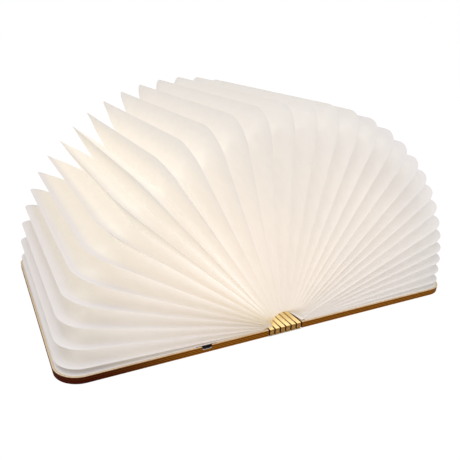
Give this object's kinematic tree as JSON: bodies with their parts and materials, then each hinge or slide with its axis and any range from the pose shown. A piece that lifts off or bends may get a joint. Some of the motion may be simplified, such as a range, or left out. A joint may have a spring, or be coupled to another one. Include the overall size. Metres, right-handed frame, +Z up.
{
  "type": "folding book lamp",
  "caption": "Book-shaped lamp with two wooden covers on a slatted spine; a pleated paper shade fans out as it opens flat and folds away as it shuts.",
  "frame": {"origin": "on the table under the middle of the spine, with the lamp lying open flat", "axes": "+X across the spine towards the right cover, +Y along the spine away from the side with the charging socket, +Z up"},
  "size_m": [0.34, 0.215, 0.1648],
  "materials": {
    "outer_ply": "satin lacquered plywood, darker cut edges",
    "inner_ply": "satin lacquered plywood, light face",
    "slat_wood": "satin lacquered plywood",
    "spine_cloth": "woven brown binding cloth",
    "paper": "matt spun-bonded paper with soft fibres",
    "circuit_board": "green solder mask",
    "socket_metal": "tinned sheet steel",
    "lead_sleeve": "flat insulated lead",
    "tray_plastic": "matt white moulding",
    "battery_foil": "plain foil pouch",
    "led_board": "white solder mask on an aluminium core",
    "led": "warm white diodes with yellow phosphor",
    "frosted_cap": "frosted white diffuser",
    "magnet": "nickel plated"
  },
  "bodies": {
    "left_cover": {"left_outer_board": "outer_ply", "left_inner_board": "inner_ply", "spine_cloth": "spine_cloth", "left_end_paper": "paper", "charge_board": "circuit_board", "usb_socket": "socket_metal", "charge_lead": "lead_sleeve", "battery_tray": "tray_plastic", "battery": "battery_foil", "led_board": "led_board", "leds": "led", "light_cap": "frosted_cap", "left_magnets": "magnet"},
    "slat_1": {"slat_1": "slat_wood", "pleats_1": "paper"},
    "slat_2": {"slat_2": "slat_wood", "pleats_2": "paper"},
    "slat_3": {"slat_3": "slat_wood", "pleats_3": "paper"},
    "slat_4": {"slat_4": "slat_wood", "pleats_4": "paper"},
    "slat_5": {"slat_5": "slat_wood", "pleats_5": "paper"},
    "slat_6": {"slat_6": "slat_wood", "pleats_6": "paper"},
    "right_cover": {"right_outer_board": "outer_ply", "right_inner_board": "inner_ply", "right_end_paper": "paper", "right_magnets": "magnet"},
    "fold_01": {"fold_01": "paper"},
    "fold_02": {"fold_02": "paper"},
    "fold_03": {"fold_03": "paper"},
    "fold_04": {"fold_04": "paper"},
    "fold_05": {"fold_05": "paper"},
    "fold_06": {"fold_06": "paper"},
    "fold_07": {"fold_07": "paper"},
    "fold_08": {"fold_08": "paper"},
    "fold_09": {"fold_09": "paper"},
    "fold_10": {"fold_10": "paper"},
    "fold_11": {"fold_11": "paper"},
    "fold_12": {"fold_12": "paper"},
    "fold_13": {"fold_13": "paper"},
    "fold_14": {"fold_14": "paper"},
    "fold_15": {"fold_15": "paper"},
    "fold_16": {"fold_16": "paper"},
    "fold_17": {"fold_17": "paper"},
    "fold_18": {"fold_18": "paper"},
    "fold_19": {"fold_19": "paper"},
    "fold_20": {"fold_20": "paper"},
    "fold_21": {"fold_21": "paper"},
    "fold_22": {"fold_22": "paper"},
    "fold_23": {"fold_23": "paper"},
    "fold_24": {"fold_24": "paper"},
    "fold_25": {"fold_25": "paper"},
    "fold_26": {"fold_26": "paper"},
    "fold_27": {"fold_27": "paper"},
    "fold_28": {"fold_28": "paper"},
    "fold_29": {"fold_29": "paper"},
    "fold_30": {"fold_30": "paper"},
    "fold_31": {"fold_31": "paper"}
  },
  "joints": [
    {"name": "spine_hinge_1", "type": "hinge", "parent": "left_cover", "child": "slat_1", "pos_m": [-0.01439, 0, 0.0026], "axis": [0, -1, 0], "range_deg": [-25.71, 25.71], "deforming": ["spine_cloth", "pleats_1", "pleats_2", "pleats_3", "pleats_4", "pleats_5", "pleats_6"]},
    {"name": "spine_hinge_2", "type": "hinge", "parent": "slat_1", "child": "slat_2", "pos_m": [-0.00959, 0, 0.0026], "axis": [0, -1, 0], "range_deg": [-25.76, 25.76]},
    {"name": "spine_hinge_3", "type": "hinge", "parent": "slat_2", "child": "slat_3", "pos_m": [-0.0048, 0, 0.0026], "axis": [0, -1, 0], "range_deg": [-25.76, 25.76]},
    {"name": "spine_hinge_4", "type": "hinge", "parent": "slat_3", "child": "slat_4", "pos_m": [0, 0, 0.0026], "axis": [0, -1, 0], "range_deg": [-25.76, 25.76]},
    {"name": "spine_hinge_5", "type": "hinge", "parent": "slat_4", "child": "slat_5", "pos_m": [0.0048, 0, 0.0026], "axis": [0, -1, 0], "range_deg": [-25.76, 25.76]},
    {"name": "spine_hinge_6", "type": "hinge", "parent": "slat_5", "child": "slat_6", "pos_m": [0.00959, 0, 0.0026], "axis": [0, -1, 0], "range_deg": [-25.76, 25.76]},
    {"name": "spine_hinge_7", "type": "hinge", "parent": "slat_6", "child": "right_cover", "pos_m": [0.01439, 0, 0.0026], "axis": [0, -1, 0], "range_deg": [-25.76, 25.76]},
    {"name": "fold_hinge_01", "type": "hinge", "parent": "left_cover", "child": "fold_01", "pos_m": [-0.01789, 0, 0.0057], "axis": [0, -1, 0], "range_deg": [-2.05, 2.05]},
    {"name": "fold_hinge_02", "type": "hinge", "parent": "slat_1", "child": "fold_02", "pos_m": [-0.01254, 0, 0.0057], "axis": [0, -1, 0], "range_deg": [-17.89, 17.89]},
    {"name": "fold_hinge_03", "type": "hinge", "parent": "slat_1", "child": "fold_03", "pos_m": [-0.01141, 0, 0.0057], "axis": [0, -1, 0], "range_deg": [-12.01, 12.01]},
    {"name": "fold_hinge_04", "type": "hinge", "parent": "slat_2", "child": "fold_04", "pos_m": [-0.0088, 0, 0.0057], "axis": [0, -1, 0], "range_deg": [-31.81, 31.81]},
    {"name": "fold_hinge_05", "type": "hinge", "parent": "slat_2", "child": "fold_05", "pos_m": [-0.00824, 0, 0.0057], "axis": [0, -1, 0], "range_deg": [-25.87, 25.87]},
    {"name": "fold_hinge_06", "type": "hinge", "parent": "slat_2", "child": "fold_06", "pos_m": [-0.0076, 0, 0.0057], "axis": [0, -1, 0], "range_deg": [-19.89, 19.89]},
    {"name": "fold_hinge_07", "type": "hinge", "parent": "slat_2", "child": "fold_07", "pos_m": [-0.00697, 0, 0.0057], "axis": [0, -1, 0], "range_deg": [-13.87, 13.87]},
    {"name": "fold_hinge_08", "type": "hinge", "parent": "slat_2", "child": "fold_08", "pos_m": [-0.00634, 0, 0.0057], "axis": [0, -1, 0], "range_deg": [-7.81, 7.81]},
    {"name": "fold_hinge_09", "type": "hinge", "parent": "slat_2", "child": "fold_09", "pos_m": [-0.00571, 0, 0.0057], "axis": [0, -1, 0], "range_deg": [-1.69, 1.69]},
    {"name": "fold_hinge_10", "type": "hinge", "parent": "slat_3", "child": "fold_10", "pos_m": [-0.00375, 0, 0.0057], "axis": [0, -1, 0], "range_deg": [-21.23, 21.23]},
    {"name": "fold_hinge_11", "type": "hinge", "parent": "slat_3", "child": "fold_11", "pos_m": [-0.00324, 0, 0.0057], "axis": [0, -1, 0], "range_deg": [-15, 15]},
    {"name": "fold_hinge_12", "type": "hinge", "parent": "slat_3", "child": "fold_12", "pos_m": [-0.00273, 0, 0.0057], "axis": [0, -1, 0], "range_deg": [-8.71, 8.71]},
    {"name": "fold_hinge_13", "type": "hinge", "parent": "slat_3", "child": "fold_13", "pos_m": [-0.00223, 0, 0.0057], "axis": [0, -1, 0], "range_deg": [-2.36, 2.36]},
    {"name": "fold_hinge_14", "type": "hinge", "parent": "slat_3", "child": "fold_14", "pos_m": [-0.00172, 0, 0.0057], "axis": [0, -1, 0], "range_deg": [-4.15, 4.15]},
    {"name": "fold_hinge_15", "type": "hinge", "parent": "slat_3", "child": "fold_15", "pos_m": [-0.00121, 0, 0.0057], "axis": [0, -1, 0], "range_deg": [-10.61, 10.61]},
    {"name": "fold_hinge_16", "type": "hinge", "parent": "slat_4", "child": "fold_16", "pos_m": [0.0008, 0, 0.0057], "axis": [0, -1, 0], "range_deg": [-8.7, 8.7]},
    {"name": "fold_hinge_17", "type": "hinge", "parent": "slat_4", "child": "fold_17", "pos_m": [0.00121, 0, 0.0057], "axis": [0, -1, 0], "range_deg": [-2.15, 2.15]},
    {"name": "fold_hinge_18", "type": "hinge", "parent": "slat_4", "child": "fold_18", "pos_m": [0.00172, 0, 0.0057], "axis": [0, -1, 0], "range_deg": [-4.51, 4.51]},
    {"name": "fold_hinge_19", "type": "hinge", "parent": "slat_4", "child": "fold_19", "pos_m": [0.00223, 0, 0.0057], "axis": [0, -1, 0], "range_deg": [-11.08, 11.08]},
    {"name": "fold_hinge_20", "type": "hinge", "parent": "slat_4", "child": "fold_20", "pos_m": [0.00273, 0, 0.0057], "axis": [0, -1, 0], "range_deg": [-17.61, 17.61]},
    {"name": "fold_hinge_21", "type": "hinge", "parent": "slat_4", "child": "fold_21", "pos_m": [0.00324, 0, 0.0057], "axis": [0, -1, 0], "range_deg": [-24.08, 24.08]},
    {"name": "fold_hinge_22", "type": "hinge", "parent": "slat_4", "child": "fold_22", "pos_m": [0.00375, 0, 0.0057], "axis": [0, -1, 0], "range_deg": [-30.44, 30.44]},
    {"name": "fold_hinge_23", "type": "hinge", "parent": "slat_5", "child": "fold_23", "pos_m": [0.00571, 0, 0.0057], "axis": [0, -1, 0], "range_deg": [-10.93, 10.93]},
    {"name": "fold_hinge_24", "type": "hinge", "parent": "slat_5", "child": "fold_24", "pos_m": [0.00634, 0, 0.0057], "axis": [0, -1, 0], "range_deg": [-16.91, 16.91]},
    {"name": "fold_hinge_25", "type": "hinge", "parent": "slat_5", "child": "fold_25", "pos_m": [0.00697, 0, 0.0057], "axis": [0, -1, 0], "range_deg": [-22.63, 22.63]},
    {"name": "fold_hinge_26", "type": "hinge", "parent": "slat_5", "child": "fold_26", "pos_m": [0.0076, 0, 0.0057], "axis": [0, -1, 0], "range_deg": [-28.02, 28.02]},
    {"name": "fold_hinge_27", "type": "hinge", "parent": "slat_5", "child": "fold_27", "pos_m": [0.00824, 0, 0.0057], "axis": [0, -1, 0], "range_deg": [-33.05, 33.05]},
    {"name": "fold_hinge_28", "type": "hinge", "parent": "slat_6", "child": "fold_28", "pos_m": [0.01039, 0, 0.0057], "axis": [0, -1, 0], "range_deg": [-11.98, 11.98]},
    {"name": "fold_hinge_29", "type": "hinge", "parent": "slat_6", "child": "fold_29", "pos_m": [0.01141, 0, 0.0057], "axis": [0, -1, 0], "range_deg": [-16.22, 16.22]},
    {"name": "fold_hinge_30", "type": "hinge", "parent": "slat_6", "child": "fold_30", "pos_m": [0.01254, 0, 0.0057], "axis": [0, -1, 0], "range_deg": [-20.12, 20.12]},
    {"name": "fold_hinge_31", "type": "hinge", "parent": "right_cover", "child": "fold_31", "pos_m": [0.01789, 0, 0.0057], "axis": [0, -1, 0], "range_deg": [-2.05, 2.05]}
  ],
  "couplings": [
    {"joint": "spine_hinge_2", "follows": "spine_hinge_1", "ratio": 1},
    {"joint": "spine_hinge_3", "follows": "spine_hinge_1", "ratio": 1},
    {"joint": "spine_hinge_4", "follows": "spine_hinge_1", "ratio": 1},
    {"joint": "spine_hinge_5", "follows": "spine_hinge_1", "ratio": 1},
    {"joint": "spine_hinge_6", "follows": "spine_hinge_1", "ratio": 1},
    {"joint": "spine_hinge_7", "follows": "spine_hinge_1", "ratio": 1},
    {"joint": "fold_hinge_01", "follows": "spine_hinge_1", "ratio": 0.077778},
    {"joint": "fold_hinge_02", "follows": "spine_hinge_1", "ratio": -0.69392},
    {"joint": "fold_hinge_03", "follows": "spine_hinge_1", "ratio": -0.46502},
    {"joint": "fold_hinge_04", "follows": "spine_hinge_1", "ratio": -1.2352},
    {"joint": "fold_hinge_05", "follows": "spine_hinge_1", "ratio": -1.0041},
    {"joint": "fold_hinge_06", "follows": "spine_hinge_1", "ratio": -0.77164},
    {"joint": "fold_hinge_07", "follows": "spine_hinge_1", "ratio": -0.53752},
    {"joint": "fold_hinge_08", "follows": "spine_hinge_1", "ratio": -0.30159},
    {"joint": "fold_hinge_09", "follows": "spine_hinge_1", "ratio": -0.063681},
    {"joint": "fold_hinge_10", "follows": "spine_hinge_1", "ratio": -0.82365},
    {"joint": "fold_hinge_11", "follows": "spine_hinge_1", "ratio": -0.58138},
    {"joint": "fold_hinge_12", "follows": "spine_hinge_1", "ratio": -0.3368},
    {"joint": "fold_hinge_13", "follows": "spine_hinge_1", "ratio": -0.089899},
    {"joint": "fold_hinge_14", "follows": "spine_hinge_1", "ratio": 0.15928},
    {"joint": "fold_hinge_15", "follows": "spine_hinge_1", "ratio": 0.41058},
    {"joint": "fold_hinge_16", "follows": "spine_hinge_1", "ratio": -0.33628},
    {"joint": "fold_hinge_17", "follows": "spine_hinge_1", "ratio": -0.081719},
    {"joint": "fold_hinge_18", "follows": "spine_hinge_1", "ratio": 0.17363},
    {"joint": "fold_hinge_19", "follows": "spine_hinge_1", "ratio": 0.42891},
    {"joint": "fold_hinge_20", "follows": "spine_hinge_1", "ratio": 0.68301},
    {"joint": "fold_hinge_21", "follows": "spine_hinge_1", "ratio": 0.93454},
    {"joint": "fold_hinge_22", "follows": "spine_hinge_1", "ratio": 1.1818},
    {"joint": "fold_hinge_23", "follows": "spine_hinge_1", "ratio": 0.42293},
    {"joint": "fold_hinge_24", "follows": "spine_hinge_1", "ratio": 0.65574},
    {"joint": "fold_hinge_25", "follows": "spine_hinge_1", "ratio": 0.87807},
    {"joint": "fold_hinge_26", "follows": "spine_hinge_1", "ratio": 1.0879},
    {"joint": "fold_hinge_27", "follows": "spine_hinge_1", "ratio": 1.2834},
    {"joint": "fold_hinge_28", "follows": "spine_hinge_1", "ratio": 0.46377},
    {"joint": "fold_hinge_29", "follows": "spine_hinge_1", "ratio": 0.62899},
    {"joint": "fold_hinge_30", "follows": "spine_hinge_1", "ratio": 0.78067},
    {"joint": "fold_hinge_31", "follows": "spine_hinge_1", "ratio": -0.077778}
  ]
}
